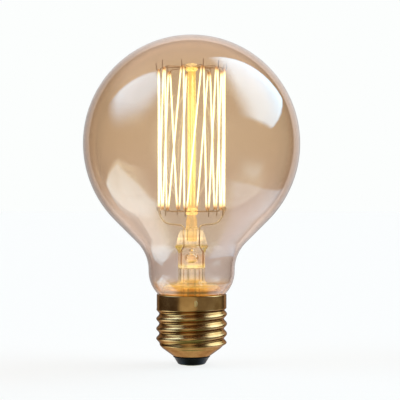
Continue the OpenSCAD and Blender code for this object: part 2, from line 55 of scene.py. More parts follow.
# Cap
CAP_H, SKIRT_R, SKIRT_H, CAP_WALL = 26.0, 12.9, 4.7, 0.3
ROOT_R, CREST_R, PITCH, THREAD_PHASE, THREAD_LOW_Z = 12.0, 13.1, 3.629, 0.17, 6.566
DOME_R, DOME_X, DOME_Z, DOME_ANGLE = 3.6, 8.4, 8.866, 54
MOUTH_R, MOUTH_Z = 7.0, 3.4
CONTACT_R, CONTACT_T, EYELET_R, EYELET_BORE_R, EYELET_TOP_Z = 4.4, 0.5, 1.2, 0.9, 5.66
INSULATOR_FOOT_R, INSULATOR_INSET, SLIP = 5.3, 0.36, 0.02
WELD_TURN, WELD_Z, WELD_HALF_WIDTH, WELD_HALF_HEIGHT, WELD_THICKNESS = 277, 23.415, 0.6, 1.2, 0.16

# Stem
TUBE_R, TUBE_WALL, FLARE_R, FLARE_Z, PLUG_Z = 4.95, 1.0, 1.2, 31.3, 35.8
BELL_R, BELL_ROUND_R, BELL_Z, BELL_SLOPE, BELL_FOOT_R = 10.9, 2.4, 27.334, 8, 10.1
SEAL_R, SEAL_TOP_Z, SEAL_LOW_Z = 10.38, 19.1, 18.1
SLOPE_Z, PINCH_FOOT_Z, PINCH_Z, PINCH_FOOT_R = 42.5, 44.5, 50.3, 6.2
BUBBLE_Z, BUBBLE_R, BUBBLE_H = 39.7, 1.75, 2.1
EXHAUST_R, EXHAUST_BORE_R, EXHAUST_TIP_Z = 1.9, 1.1, 9.7
LEAD_X, ROD_R, ROD_FOOT_R, ROD_SET = 2.925, 1.5, 2.0, 4.48

# Cage
CAGE_R, CAGE_TURN, UPPER_COUNT = 12.2, 9, 10
SEAT_LOW_Z, SEAT_TOP_Z, ARM_RISE, ARM_START_R = 57.9, 108.524, 1.3, 1.65
BEAD_R, BEAD_H = 2.3, 2.7
SUPPORT_R, FILAMENT_R, BEND_R, HOOK_H = 0.15, 0.3, 0.5, 1.7
SCATTER, CROWDING, CROWD_AT = 2, 8, 240
CLAMP_R, CLAMP_TOP_Z, CLAMP_H, CLAMP_GAP = 0.9, 58.4, 1.6, 0.9
INNER_LEAD_R = 0.28


# Points and outlines

def cosd(angle):
    return math.cos(math.radians(angle))


def sind(angle):
    return math.sin(math.radians(angle))


def mix(a, b, t):
    return a + (b - a) * t


def ease(t):
    t = min(1, max(0, t))
    return t * t * (3 - 2 * t)


def hump(value, centre, width):
    """1 at the centre and near nothing beyond the width."""
    return math.exp(-((value - centre) / width) ** 2)


def out(angle):
    return Vector((cosd(angle), sind(angle), 0))


def along(angle):
    return Vector((-sind(angle), cosd(angle), 0))


def up(z):
    return Vector((0, 0, z))


def in_plane(point, angle):
    """A point of a radial plane, from its distance to the axis and its height."""
    return out(angle) * point[0] + up(point[1])


def arc(x, z, r, start, end, step=3):
    count = max(2, math.ceil(abs(end - start) / step))
    angles = [mix(start, end, i / count) for i in range(count + 1)]
    return [(x + r * cosd(a), z + r * sind(a)) for a in angles]


def curve_through(points, between):
    """A smooth curve through given points, with some points between each pair."""
    points = [Vector(p) for p in points]
    last, made = len(points) - 1, []
    for i in range(last):
        a, b, c, d = points[max(0, i - 1)], points[i], points[i + 1], points[min(last, i + 2)]
        for s in range(between + 1):
            t = s / (between + 1)
            slow = (c - a) * t
            fast = (2 * a - 5 * b + 4 * c - d) * t ** 2 + (3 * b - a - 3 * c + d) * t ** 3
            made.append(b + (slow + fast) / 2)
    return made + [points[-1]]


# Making pieces

def new_object(name, data):
    made = bpy.data.objects.new(name, data)
    bpy.context.scene.collection.objects.link(made)
    return made


def finished(name, bm, material, slot, *nodes):
    """Puts a mesh in the scene as a smooth piece that stands for the named CAD nodes."""
    mesh = bpy.data.meshes.new(name)
    bm.to_mesh(mesh)
    bm.free()
    mesh.materials.append(material)
    mesh.polygons.foreach_set("use_smooth", [True] * len(mesh.polygons))
    mesh.set_sharp_from_angle(angle=SMOOTH_ANGLE)
    piece = new_object(name, mesh)
    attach(piece, "root")
    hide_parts(*nodes)
    return piece


def refinished(material, *nodes):
    """Gives CAD nodes that stay a better material."""
    for name in nodes:
        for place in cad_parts[name].material_slots:
            place.link = "OBJECT"
            place.material = material


def closed_up(bm):
    bmesh.ops.remove_doubles(bm, verts=bm.verts[:], dist=DOUBLES_DISTANCE)
    bmesh.ops.recalc_face_normals(bm, faces=bm.faces[:])
    return bm


def spun(outline, steps, ring=True):
    """Turns an outline of (radius, height) pairs about the lamp's axis. A ring is a closed outline."""
    bm = bmesh.new()
    verts = [bm.verts.new((r * MM, 0, z * MM)) for r, z in outline]
    pairs = zip(verts, verts[1:] + (verts[:1] if ring else []))
    edges = [bm.edges.new(pair) for pair in pairs]
    bmesh.ops.spin(bm, geom=verts + edges, axis=(0, 0, 1), cent=(0, 0, 0), angle=math.tau,
                   steps=steps, use_merge=True)
    return closed_up(bm)


def tube(path, radius, sides=8):
    """A round wire along a path of points in millimetres, closed at both ends."""
    data = bpy.data.curves.new("wire", "CURVE")
    data.dimensions = "3D"
    data.bevel_depth = radius * MM
    data.bevel_resolution = max(0, sides // 2 - 2)
    data.use_fill_caps = True
    spline = data.splines.new("POLY")
    spline.points.add(len(path) - 1)
    for point, place in zip(spline.points, path):
        point.co = (*(place * MM), 1)
    holder = new_object("wire", data)
    depsgraph = bpy.context.evaluated_depsgraph_get()
    mesh = bpy.data.meshes.new_from_object(holder.evaluated_get(depsgraph))
    bpy.data.objects.remove(holder)
    bpy.data.curves.remove(data)
    bm = bmesh.new()
    bm.from_mesh(mesh)
    bpy.data.meshes.remove(mesh)
    return closed_up(bm)


def lofted(sections, sides):
    """Joins rings from the bottom up and closes both ends. Each is a function from an angle to a point.

    A point's angle is read again from the ring below it. Known fault: on flat, turned rings the points creep
    towards two corners from ring to ring, so the top of the press is a sheet between them and not a slab.
    """
    bm = bmesh.new()
    ring = bmesh.ops.create_circle(bm, segments=sides, radius=MM)["verts"]
    edges = first = bm.edges[:]
    for i, section in enumerate(sections):
        if i:
            made = bmesh.ops.extrude_edge_only(bm, edges=edges)["geom"]
            edges = [g for g in made if isinstance(g, bmesh.types.BMEdge)]
            ring = [g for g in made if isinstance(g, bmesh.types.BMVert)]
        for v in ring:
            v.co = section(math.atan2(v.co.y, v.co.x)) * MM
    bmesh.ops.edgeloop_fill(bm, edges=first)
    bmesh.ops.edgeloop_fill(bm, edges=edges)
    return closed_up(bm)


def joined(*parts):
    """One mesh from several closed ones."""
    whole = bmesh.new()
    for part in parts:
        mesh = bpy.data.meshes.new("part")
        part.to_mesh(mesh)
        part.free()
        whole.from_mesh(mesh)
        bpy.data.meshes.remove(mesh)
    return whole


def lit(bm, light_at):
    """Stores painted lamplight at each point, a glow that stands for the light the glass catches, from the
    point's place in millimetres.
    """
    layer = bm.verts.layers.float_color.new("lamplight")
    for v in bm.verts:
        v[layer] = (*light_at(v.co / MM), 1)
    return bm


def summed(*lights):
    """The sum of some lights, each a share and a colour."""
    return [sum(share * colour[i] for share, colour in lights) for i in range(3)]


# Shader building

def new_material(name):
    material = bpy.data.materials.new(name)
    material.use_nodes = True
    nodes = material.node_tree.nodes
    return material, nodes, material.node_tree.links, nodes["Principled BSDF"]


def feed(links, socket, value):
    """Gives a socket a number, a colour or a link."""
    if isinstance(value, (int, float)):
        socket.default_value = value
    elif isinstance(value, tuple):
        socket.default_value = (*value, 1)
    else:
        links.new(value, socket)


def math_node(nodes, links, operation, a, b):
    node = nodes.new("ShaderNodeMath")
    node.operation = operation
    feed(links, node.inputs[0], a)
    feed(links, node.inputs[1], b)
    return node.outputs[0]


def product(nodes, links, first, *others):
    for other in others:
        first = math_node(nodes, links, "MULTIPLY", first, other)
    return first


def mix_node(nodes, links, share, low, high, blend="MIX"):
    """A mix of two colours, each a constant or a socket."""
    node = nodes.new("ShaderNodeMix")
    node.data_type = "RGBA"
    node.blend_type = blend
    for i, value in ((0, share), (6, low), (7, high)):
        feed(links, node.inputs[i], value)
    return node.outputs[2]


def ramp_node(nodes, links, value, stops):
    node = nodes.new("ShaderNodeValToRGB")
    points = node.color_ramp.elements
    while len(points) < len(stops):
        points.new(0.5)
    for point, (place, colour) in zip(points, stops):
        point.position = place
        point.color = (*colour, 1)
    links.new(value, node.inputs[0])
    return node.outputs[0]


def map_node(nodes, links, value, low, high, to_low=0.0, to_high=1.0):
    node = nodes.new("ShaderNodeMapRange")
    node.interpolation_type = "SMOOTHSTEP"
    links.new(value, node.inputs["Value"])
    for name, number in zip(("From Min", "From Max", "To Min", "To Max"), (low, high, to_low, to_high)):
        node.inputs[name].default_value = number
    return node.outputs[0]


def object_height(nodes, links):
    coordinates = nodes.new("ShaderNodeTexCoord")
    parts = nodes.new("ShaderNodeSeparateXYZ")
    links.new(coordinates.outputs["Object"], parts.inputs[0])
    return parts.outputs["Z"]


def attribute(nodes, name, output="Color"):
    node = nodes.new("ShaderNodeAttribute")
    node.attribute_name = name
    return node.outputs[output]


def new_group(name, inputs, outputs):
    """A node group whose sockets are numbers, its inputs with a value each."""
    group = bpy.data.node_groups.new(name, "ShaderNodeTree")
    for socket, value in inputs.items():
        made = group.interface.new_socket(socket, in_out="INPUT", socket_type="NodeSocketFloat")
        made.default_value = value
    for socket in outputs:
        group.interface.new_socket(socket, in_out="OUTPUT", socket_type="NodeSocketFloat")
    nodes = group.nodes
    return group, nodes, group.links, nodes.new("NodeGroupInput").outputs, nodes.new("NodeGroupOutput").inputs


def noise_on_object(nodes, links, scale, detail, stretch=(1, 1, 1)):
    """Noise on Object coordinates, which may be drawn out along an axis."""
    placed = nodes.new("ShaderNodeMapping")
    placed.inputs["Scale"].default_value = stretch
    links.new(nodes.new("ShaderNodeTexCoord").outputs["Object"], placed.inputs["Vector"])
    noise = nodes.new("ShaderNodeTexNoise")
    noise.inputs["Detail"].default_value = detail
    links.new(placed.outputs[0], noise.inputs["Vector"])
    feed(links, noise.inputs["Scale"], scale)
    return noise.outputs[0]


SCRATCH_STRETCH, STREAK_STRETCH = (1, 1, 0.06), (1, 1, 0.05)
PATCH_RANGE, STREAK_RANGE, STREAK_SHADE = (0.3, 0.7), (0.35, 0.65), (0.6, 1.3)


def wear_group():
    """Cloudy patches and fine scratches on bare metal: a roughness, a tone and a height."""
    group, nodes, links, given, result = new_group(
        "metal_wear", {"Roughness": 0.3, "Spread": 0.1, "Patch Scale": 300.0, "Scratch Scale": 2500.0},
        ("Roughness", "Tone", "Height"))
    patches = noise_on_object(nodes, links, given["Patch Scale"], 4)
    scratches = noise_on_object(nodes, links, given["Scratch Scale"], 2, SCRATCH_STRETCH)
    centred = math_node(nodes, links, "SUBTRACT", patches, 0.5)
    spread = product(nodes, links, centred, given["Spread"], 2.0)
    links.new(math_node(nodes, links, "ADD", given["Roughness"], spread), result["Roughness"])
    links.new(map_node(nodes, links, patches, *PATCH_RANGE), result["Tone"])
    links.new(scratches, result["Height"])
    return group


def glass_group():
    """The slow waves of blown and drawn glass as a height, and its fine upright streaks as a mask."""
    group, nodes, links, given, result = new_group(
        "glass_draw", {"Wave Scale": 40.0, "Streak Scale": 900.0}, ("Height", "Streaks"))
    links.new(noise_on_object(nodes, links, given["Wave Scale"], 1), result["Height"])
    streaks = noise_on_object(nodes, links, given["Streak Scale"], 2, STREAK_STRETCH)
    links.new(map_node(nodes, links, streaks, *STREAK_RANGE), result["Streaks"])
    return group


METAL_WEAR, GLASS_DRAW = wear_group(), glass_group()
ROUGHNESS_SPREAD = 0.08


def placed_group(nodes, group, **values):
    node = nodes.new("ShaderNodeGroup")
    node.node_tree = group
    for name, value in values.items():
        node.inputs[name.replace("_", " ")].default_value = value
    return node


def bump(nodes, links, shader, height, distance, strength=1.0):
    node = nodes.new("ShaderNodeBump")
    node.inputs["Strength"].default_value = strength
    node.inputs["Distance"].default_value = distance
    links.new(height, node.inputs["Height"])
    links.new(node.outputs[0], shader.inputs["Normal"])


def metal(name, light, dark, roughness, scratch=0.00001, glow=None):
    """A bare metal whose tone and roughness vary as handling leaves them.

    glow is painted lamplight, an emission for the light that it catches from close by.
    """
    material, nodes, links, shader = new_material(name)
    wear = placed_group(nodes, METAL_WEAR, Roughness=roughness, Spread=ROUGHNESS_SPREAD)
    links.new(wear.outputs["Roughness"], shader.inputs["Roughness"])
    tone = ramp_node(nodes, links, wear.outputs["Tone"], ((0, dark), (1, light)))
    links.new(tone, shader.inputs["Base Color"])
    shader.inputs["Metallic"].default_value = 1
    if glow:
        shader.inputs["Emission Color"].default_value = (*glow, 1)
        shader.inputs["Emission Strength"].default_value = 1
    bump(nodes, links, shader, wear.outputs["Height"], scratch)
    return material, nodes, links, shader, tone


def glass(name, tints, wave_scale, roughness=0.0, wave=0.00002, ior=1.5, absorption=None, glows=False):
    """Clear glass whose tint changes with height, and which may show painted lamplight, a glow for the light
    that it catches.

    tints are (height, colour) pairs from the bottom up. absorption is a colour and a density. Light passes
    straight through the glass to what it holds.
    """
    material, nodes, links, shader = new_material(name)
    low, high = tints[0][0], tints[-1][0] + 1
    share = math_node(nodes, links, "SUBTRACT", object_height(nodes, links), low * MM)
    share = math_node(nodes, links, "DIVIDE", share, (high - low) * MM)
    tint = ramp_node(nodes, links, share, [((z - low) / (high - low), colour) for z, colour in tints])
    links.new(tint, shader.inputs["Base Color"])
    shader.inputs["Roughness"].default_value = roughness
    shader.inputs["IOR"].default_value = ior
    shader.inputs["Transmission Weight"].default_value = 1
    drawn = placed_group(nodes, GLASS_DRAW, Wave_Scale=wave_scale)
    bump(nodes, links, shader, drawn.outputs["Height"], wave)
    # The glow is painted lamplight, made uneven by the glass's streaks.
    if glows:
        uneven = map_node(nodes, links, drawn.outputs["Streaks"], 0, 1, *STREAK_SHADE)
        glow = mix_node(nodes, links, 1.0, attribute(nodes, "lamplight"), uneven, "MULTIPLY")
        links.new(glow, shader.inputs["Emission Color"])
        shader.inputs["Emission Strength"].default_value = 1
    clear = nodes.new("ShaderNodeBsdfTransparent")
    clear.inputs["Color"].default_value = (*tints[-1][1], 1)
    choice = nodes.new("ShaderNodeMixShader")
    links.new(nodes.new("ShaderNodeLightPath").outputs["Is Shadow Ray"], choice.inputs[0])
    links.new(shader.outputs[0], choice.inputs[1])
    links.new(clear.outputs[0], choice.inputs[2])
    surface = nodes["Material Output"]
    links.new(choice.outputs[0], surface.inputs["Surface"])
    if absorption:
        colour, density = absorption
        inside = nodes.new("ShaderNodeVolumeAbsorption")
        inside.inputs["Color"].default_value = (*colour, 1)
        inside.inputs["Density"].default_value = density
        links.new(inside.outputs[0], surface.inputs["Volume"])
    return material


# Materials, with the tints of glass by height in millimetres

# The lowest, warm stops of the globe's and the stem's tints are a painted reflection of the brass cap in the
# glass of the neck and the bell.
GLOBE_TINTS = (
    (29, (0.95, 0.73, 0.48)), (30.2, (1.0, 0.92, 0.83)), (31.3, (0.97, 0.95, 0.96)),
    (33, (0.915, 0.895, 0.92)), (38, (0.92, 0.89, 0.9)), (46, (0.936, 0.88, 0.846)),
    (56, (0.96, 0.88, 0.81)), (82, (0.968, 0.88, 0.75)))
STEM_TINTS = (
    (30.6, (0.9, 0.77, 0.48)), (31.6, (0.99, 0.975, 0.965)), (35.5, (0.99, 0.975, 0.965)),
    (37, (0.99, 0.95, 0.87)))
ROD_TINTS = (
    (47.5, (0.84, 0.58, 0.31)), (50.5, (1.0, 0.89, 0.64)), (55.5, (1.0, 0.9, 0.66)),
    (57.5, (1.0, 0.93, 0.7)))
AMBER_ABSORPTION = (0.8, 0.64, 0.5), 1000
WIRE_HEAT = ((0, (0.8, 0.4, 0.14)), (0.5, (2.0, 1.8, 1.0)), (1, (2.4, 2.9, 2.0)))
WIRE_COOL_LOW, WIRE_COOL_TOP = (SEAT_LOW_Z - 0.4, SEAT_LOW_Z + 2.4), (SEAT_TOP_Z + 0.6, SEAT_TOP_Z - 2.2)
WIRE_COLOUR, WIRE_ROUGHNESS = (0.12, 0.09, 0.07), 0.6
GROOVE_SHADE, CAP_EDGE_SHINE = (0.8, 0.72, 0.6), 0.4
BLACK_TONES, BLACK_ROUGHNESS, BLACK_IOR = ((0, (0.004, 0.003, 0.004)), (1, (0.01, 0.008, 0.009))), 0.28, 1.15
BLACK_WAVE = 0.00008
CEMENT_TONES, CEMENT_ROUGHNESS = ((0.3, (0.55, 0.42, 0.26)), (0.7, (0.8, 0.68, 0.5))), 0.85
CEMENT_GRAIN_SCALE, CEMENT_GRAIN_DEPTH, CEMENT_GRAIN_STRENGTH = 1500, 0.0002, 0.6

globe_glass = glass("amber_globe_glass", GLOBE_TINTS, 35, roughness=0.035, ior=1.65,
                    absorption=AMBER_ABSORPTION)
stem_glass = glass("stem_glass", STEM_TINTS, 250, wave=0.00003, glows=True)
rod_glass = glass("rod_glass", ROD_TINTS, 300, roughness=0.12, glows=True)


def hot_wire():
    """The glowing filament, cooler where it bends round a support or enters a clamp."""
    material, nodes, links, shader = new_material("hot_filament")
    height = object_height(nodes, links)
    low, high = [map_node(nodes, links, height, cool * MM, hot * MM)
                 for cool, hot in (WIRE_COOL_LOW, WIRE_COOL_TOP)]
    heat = math_node(nodes, links, "MINIMUM", low, high)
    links.new(ramp_node(nodes, links, heat, WIRE_HEAT), shader.inputs["Emission Color"])
    shader.inputs["Emission Strength"].default_value = 1
    shader.inputs["Base Color"].default_value = (*WIRE_COLOUR, 1)
    shader.inputs["Roughness"].default_value = WIRE_ROUGHNESS
    return material


def threaded_brass():
    """Dull brass, darker down in the grooves and on the thread's flanks and brighter on the worn crests:
    partly wear and patina, partly painted shade that keeps the highlights to the crests.
    """
    material, nodes, links, shader, tone = metal("cap_brass", (0.58, 0.31, 0.127), (0.44, 0.222, 0.085), 0.22)
    rub_and_shade = attribute(nodes, "rub_and_shade", "Fac")
    # Where the mask is low the tone is darkened: patina in the grooves, and painted shade on the flanks.
    patina_and_shade = mix_node(nodes, links, 1.0, tone, GROOVE_SHADE, "MULTIPLY")
    links.new(mix_node(nodes, links, rub_and_shade, patina_and_shade, tone), shader.inputs["Base Color"])
    shader.inputs["Specular Tint"].default_value = (CAP_EDGE_SHINE, CAP_EDGE_SHINE, CAP_EDGE_SHINE, 1)
    return material


def black_glass():
    material, nodes, links, shader = new_material("black_insulator_glass")
    wear = placed_group(nodes, METAL_WEAR, Roughness=BLACK_ROUGHNESS, Spread=ROUGHNESS_SPREAD,
                        Patch_Scale=500.0)
    links.new(wear.outputs["Roughness"], shader.inputs["Roughness"])
    shader.inputs["IOR"].default_value = BLACK_IOR
    links.new(ramp_node(nodes, links, wear.outputs["Tone"], BLACK_TONES), shader.inputs["Base Color"])
    drawn = placed_group(nodes, GLASS_DRAW, Wave_Scale=400.0)
    bump(nodes, links, shader, drawn.outputs["Height"], BLACK_WAVE)
    return material


def basing_cement():
    material, nodes, links, shader = new_material("basing_cement")
    grain = noise_on_object(nodes, links, CEMENT_GRAIN_SCALE, 6)
    links.new(ramp_node(nodes, links, grain, CEMENT_TONES), shader.inputs["Base Color"])
    shader.inputs["Roughness"].default_value = CEMENT_ROUGHNESS
    bump(nodes, links, shader, grain, CEMENT_GRAIN_DEPTH, CEMENT_GRAIN_STRENGTH)
    return material


filament_metal = hot_wire()
# The support wires and the nickel leads carry a painted glow of lamplight.
support_metal = metal("support_wire", (0.5, 0.3, 0.16), (0.34, 0.18, 0.09), 0.38,
                      glow=(0.1, 0.045, 0.016))[0]
nickel = metal("nickel_wire", (0.8, 0.68, 0.52), (0.64, 0.52, 0.38), 0.35, glow=(0.3, 0.19, 0.11))[0]
copper = metal("copper_wire", (0.86, 0.44, 0.26), (0.6, 0.28, 0.16), 0.32)[0]
cap_brass = threaded_brass()
contact_brass = metal("contact_brass", (0.74, 0.62, 0.42), (0.5, 0.4, 0.25), 0.3)[0]
solder = metal("soft_solder", (0.62, 0.62, 0.62), (0.4, 0.4, 0.41), 0.34, scratch=0.00003)[0]
weld_metal = metal("weld_metal", (0.9, 0.6, 0.28), (0.5, 0.3, 0.13), 0.4, scratch=0.00003)[0]
insulator_glass, cement = black_glass(), basing_cement()


# Globe

def globe_outline():
    """From the top of the outer face down to the neck's end, and back up the inner face."""
    def face(inset):
        shoulder_end = math.degrees(math.asin((CAP_H + 0.5 - SHOULDER_Z) / SHOULDER_R))
        points = [(NECK_LOW_R - inset, SEAL_LOW_Z), (NECK_LOW_R - inset, NECK_LOW_Z),
                  (NECK_SEAT_R - inset, NECK_SEAT_Z)]
        points += arc(WAIST_R - SHOULDER_R, SHOULDER_Z, SHOULDER_R - inset, shoulder_end, 0)
        points += arc(WAIST_R + NECK_CURVE_R, NECK_CURVE_Z, NECK_CURVE_R + inset, 180, 135)
        points += arc(0, GLOBE_Z, GLOBE_R - inset, -45, 90, 2)[:-1]
        return points + [(0, GLOBE_Z + GLOBE_R - inset)]
    return face(0)[::-1] + face(GLASS_WALL)


finished("globe_blown_glass", spun(globe_outline(), 256, ring=False), globe_glass, "globe_glass", "globe")


# Cap

THREAD_START, THREAD_END, SKIRT_EASE = PITCH * 0.45, PITCH * 0.3, 0.25
WALL_ROWS, CREST_SHINE, FOOT_SHINE, SKIRT_SHINE = 110, 0.3, 0.6, 0.9


def thread_lift(z):
    """Half the thread's depth, as far as the thread has risen out of the cap's foot at a height."""
    return (CREST_R - ROOT_R) / 2 * ease((z - THREAD_LOW_Z) / THREAD_START)


def thread_finish(z):
    """0 below the thread's upper end, and 1 on the skirt."""
    return ease((z - CAP_H + SKIRT_H + SKIRT_EASE) / THREAD_END + 1)


def cap_sheet():
    """The rolled sheet: a foot, a thread and a skirt, waved to the thread once it is spun."""
    def face(inset):
        rows = [mix(DOME_Z + 0.15, CAP_H - 0.25, i / WALL_ROWS) for i in range(WALL_ROWS + 1)]
        foot = [(MOUTH_R - inset * cosd(DOME_ANGLE), MOUTH_Z + inset * sind(DOME_ANGLE))]
        foot += [(r + thread_lift(z), z) for r, z in arc(DOME_X, DOME_Z, DOME_R - inset, -DOME_ANGLE, 0, 2.5)]
        wall = [(mix(ROOT_R + thread_lift(z), SKIRT_R, thread_finish(z)) - inset, z) for z in rows]
        return foot + wall
    rim = [(SKIRT_R - 0.03, CAP_H - 0.08), (SKIRT_R - 0.11, CAP_H), (SKIRT_R - 0.21, CAP_H),
           (SKIRT_R - CAP_WALL + SLIP, CAP_H - 0.08)]
    bm = spun(face(0) + rim + face(CAP_WALL)[::-1], 192)
    rub_and_shade = bm.verts.layers.float.new("rub_and_shade")
    for v in bm.verts:
        z, angle = v.co.z / MM, math.atan2(v.co.y, v.co.x)
        wave = math.cos(math.tau * (z / PITCH - THREAD_PHASE) - angle)
        outward = Vector((math.cos(angle), math.sin(angle), 0))
        v.co += outward * wave * thread_lift(z) * (1 - thread_finish(z)) * MM
        # A mask that is 1 on the crests and lower on the flanks and in the grooves, where the brass is
        # darkened: partly wear and patina, partly painted shade.
        crest = mix(ease(wave + CREST_SHINE), FOOT_SHINE, ease((THREAD_LOW_Z + 1 - z) / 1.5))
        v[rub_and_shade] = mix(crest, SKIRT_SHINE, thread_finish(z))
    return bm


finished("cap_threaded_sheet", cap_sheet(), cap_brass, "cap_brass", "cap_shell")

insulator_outline = (
    [(CONTACT_R + SLIP, CONTACT_T), (CONTACT_R + SLIP, 0.28)]
    + arc(INSULATOR_FOOT_R - 0.8, 1.0, 0.8, -100, -24, 8)
    + [(6.5, 2.7)] + arc(6.55, 3.05, 0.3, -20, 60, 20) + [(6.8, 3.45)]
    + [(MOUTH_R - INSULATOR_INSET * cosd(DOME_ANGLE), MOUTH_Z + INSULATOR_INSET * sind(DOME_ANGLE))]
    + arc(DOME_X, DOME_Z, DOME_R - INSULATOR_INSET, -DOME_ANGLE, 0, 6)
    + [(DOME_X, DOME_Z), (EYELET_R + 0.7, EYELET_TOP_Z), (EYELET_R + SLIP, EYELET_TOP_Z),
       (EYELET_R + SLIP, CONTACT_T)])
finished("cap_black_glass", spun(insulator_outline, 128), insulator_glass, "insulator", "cap_insulator")

contact_outline = (
    [(EYELET_BORE_R, 0.14)] + arc(EYELET_BORE_R + 0.14, 0.14, 0.14, 180, 270, 30)[1:]
    + arc(CONTACT_R - 0.22, 0.22, 0.22, -90, 0, 18)
    + [(CONTACT_R, CONTACT_T), (EYELET_R, CONTACT_T), (EYELET_R, EYELET_TOP_Z),
       (EYELET_BORE_R, EYELET_TOP_Z)])
finished("cap_tip_plate", spun(contact_outline, 96), contact_brass, "contact", "tip_contact")

solder_outline = [(0, 0.06), (0.4, 0.08), (0.75, 0.16), (EYELET_BORE_R - SLIP, 0.3),
                  (EYELET_BORE_R - SLIP, 3.0), (0.17, 3.0), (0.17, 0.58), (0, 0.58)]
finished("cap_tip_solder", spun(solder_outline, 48, ring=False), solder, "solder", "tip_solder")


def weld_bead():
    """A small flattened blob on the skirt where the side lead comes through."""
    bm = bmesh.new()
    bmesh.ops.create_icosphere(bm, subdivisions=4, radius=1)
    for v in bm.verts:
        angle = math.atan2(v.co.z, v.co.y)
        v.co.y *= WELD_HALF_WIDTH + 0.08 * math.sin(3 * angle + 1)
        v.co.z *= WELD_HALF_HEIGHT + 0.1 * math.cos(2 * angle)
        v.co.x = v.co.x * WELD_THICKNESS + math.sqrt(SKIRT_R ** 2 - v.co.y ** 2)
        v.co.z += WELD_Z
    bmesh.ops.scale(bm, verts=bm.verts[:], vec=(MM, MM, MM))
    turned = Matrix.Rotation(math.radians(WELD_TURN), 3, "Z")
    bmesh.ops.rotate(bm, verts=bm.verts[:], cent=(0, 0, 0), matrix=turned)
    return closed_up(bm)


finished("cap_side_weld", weld_bead(), weld_metal, "solder", "side_weld")
refinished(cement, "basing_cement")


# Stem, with painted lamplight as a glow in its glass

NO_LIGHT, BEAD_LIGHT = (0, 0, 0), (0.32, 0.28, 0.16)
BELL_LIGHT, RING_LIGHT, PALE_LIGHT = (0.18, 0.13, 0.035), (0.08, 0.055, 0.02), (0.09, 0.08, 0.055)
PRESS_LIGHT, FAN_LIGHT, PLUG_LIGHT = (0.02, 0.01, 0.004), (0.03, 0.018, 0.012), (0.11, 0.055, 0)
FAN_EDGE_LIGHT, PLUG_TOP_LIGHT, PLUG_FOOT_LIGHT = (0.65, 0.6, 0.32), (0.06, 0.05, 0.03), (0.38, 0.32, 0.05)
ROD_FOOT_LIGHT, ROD_TOP_LIGHT = (0.28, 0.17, 0.025), (0.37, 0.275, 0.025)
BELL_FADE_Z, ROD_FADE_Z, FADED = 26, 54, 0.2


def bell_light(place):
    """Painted light on the bell: amber, from the brass below it, with pale rings at its top and under the
    plug.
    """
    bell = ease((FLARE_Z + 0.6 - place.z) / 0.8) * mix(FADED, 1, ease((place.z - BELL_FADE_Z) / 4))
    ring = hump(place.z, PLUG_Z, 0.7)
    pale = hump(place.z, PLUG_Z - 1.2, 0.8) + 0.7 * hump(place.z, FLARE_Z - 0.9, 0.7)
    return summed((bell, BELL_LIGHT), (ring, RING_LIGHT), (pale, PALE_LIGHT))


def flare_outline():
    """The stem tube and its bell: down the outer face to the seal and up the inner one."""
    def face(inset):
        return (arc(TUBE_R + FLARE_R, FLARE_Z, FLARE_R + inset, 180, 270 - BELL_SLOPE, 6)
                + arc(BELL_R - BELL_ROUND_R, BELL_Z, BELL_ROUND_R - inset, 90 - BELL_SLOPE, 0, 6))
    inner_foot_r = BELL_FOOT_R - TUBE_WALL
    seal = [(BELL_FOOT_R, NECK_LOW_Z), (BELL_FOOT_R + 0.05, SEAL_TOP_Z + 0.5), (SEAL_R, SEAL_TOP_Z),
            (SEAL_R, SEAL_LOW_Z), (inner_foot_r + 0.1, SEAL_LOW_Z), (inner_foot_r, NECK_LOW_Z)]
    bead = arc(TUBE_R - 0.42, PLUG_Z - 0.5, 0.5, 80, -30, 20)
    foot = [(TUBE_R, PLUG_Z - 1.2), (TUBE_R, PLUG_Z - 2.4)]
    return [(TUBE_R - TUBE_WALL, PLUG_Z)] + bead + foot + face(0) + seal + face(TUBE_WALL)[::-1]


flare = lit(spun(flare_outline(), 128), bell_light)
finished("stem_flare", flare, stem_glass, "stem_glass", "flare_tube")

exhaust_outline = [
    (EXHAUST_BORE_R, PLUG_Z), (EXHAUST_R, PLUG_Z), (EXHAUST_R, 14.0), (1.75, 12.8), (1.3, 11.3), (0.7, 10.1),
    (0, EXHAUST_TIP_Z), (0, 11.3), (0.5, 12.0), (0.95, 13.2), (EXHAUST_BORE_R, 14.2)]
exhaust_tube = lit(spun(exhaust_outline, 64), lambda place: NO_LIGHT)
finished("stem_exhaust_tube", exhaust_tube, stem_glass, "stem_glass", "exhaust_tube")


def press_section(z, half_x, half_y, power):
    """A ring that goes from round to a flattened, round-cornered slab as its power rises."""
    def point(angle):
        c, s = math.cos(angle), math.sin(angle)
        x = half_x * math.copysign(abs(c) ** (2 / power), c)
        y = half_y * math.copysign(abs(s) ** (2 / power), s)
        return Matrix.Rotation(math.radians(CAGE_TURN), 3, "Z") @ Vector((x, y, z))
    return point


# Rings up the press: the height, half the width and depth, and the power
PRESS_RINGS = [
    (PLUG_Z, 4.75, 4.75, 2), (PLUG_Z + 0.15, 4.92, 4.92, 2), (PLUG_Z + 0.6, 5.02, 5.02, 2),
    (PLUG_Z + 1.2, 4.95, 4.95, 2), (PLUG_Z + 3.4, 4.95, 4.95, 2), (SLOPE_Z - 1.2, 4.95, 4.95, 2),
    (SLOPE_Z - 0.5, 5.08, 5.02, 2), (SLOPE_Z, 5.2, 4.85, 2.1), (SLOPE_Z + 0.6, 5.5, 4.25, 2.3),
    (SLOPE_Z + 1.3, 5.95, 3.3, 2.7), (PINCH_FOOT_Z, PINCH_FOOT_R, 2.65, 3.0),
    (PINCH_FOOT_Z + 0.8, 6.05, 2.3, 3.3), (PINCH_FOOT_Z + 2.3, 5.7, 2.2, 3.6),
    (PINCH_Z - 2.0, 5.3, 2.15, 3.6), (PINCH_Z - 0.8, 4.8, 2.1, 3.2), (PINCH_Z - 0.25, 4.4, 1.95, 2.9),
    (PINCH_Z, 3.8, 1.6, 2.6)]
PINCH_TOP_R = 4.6


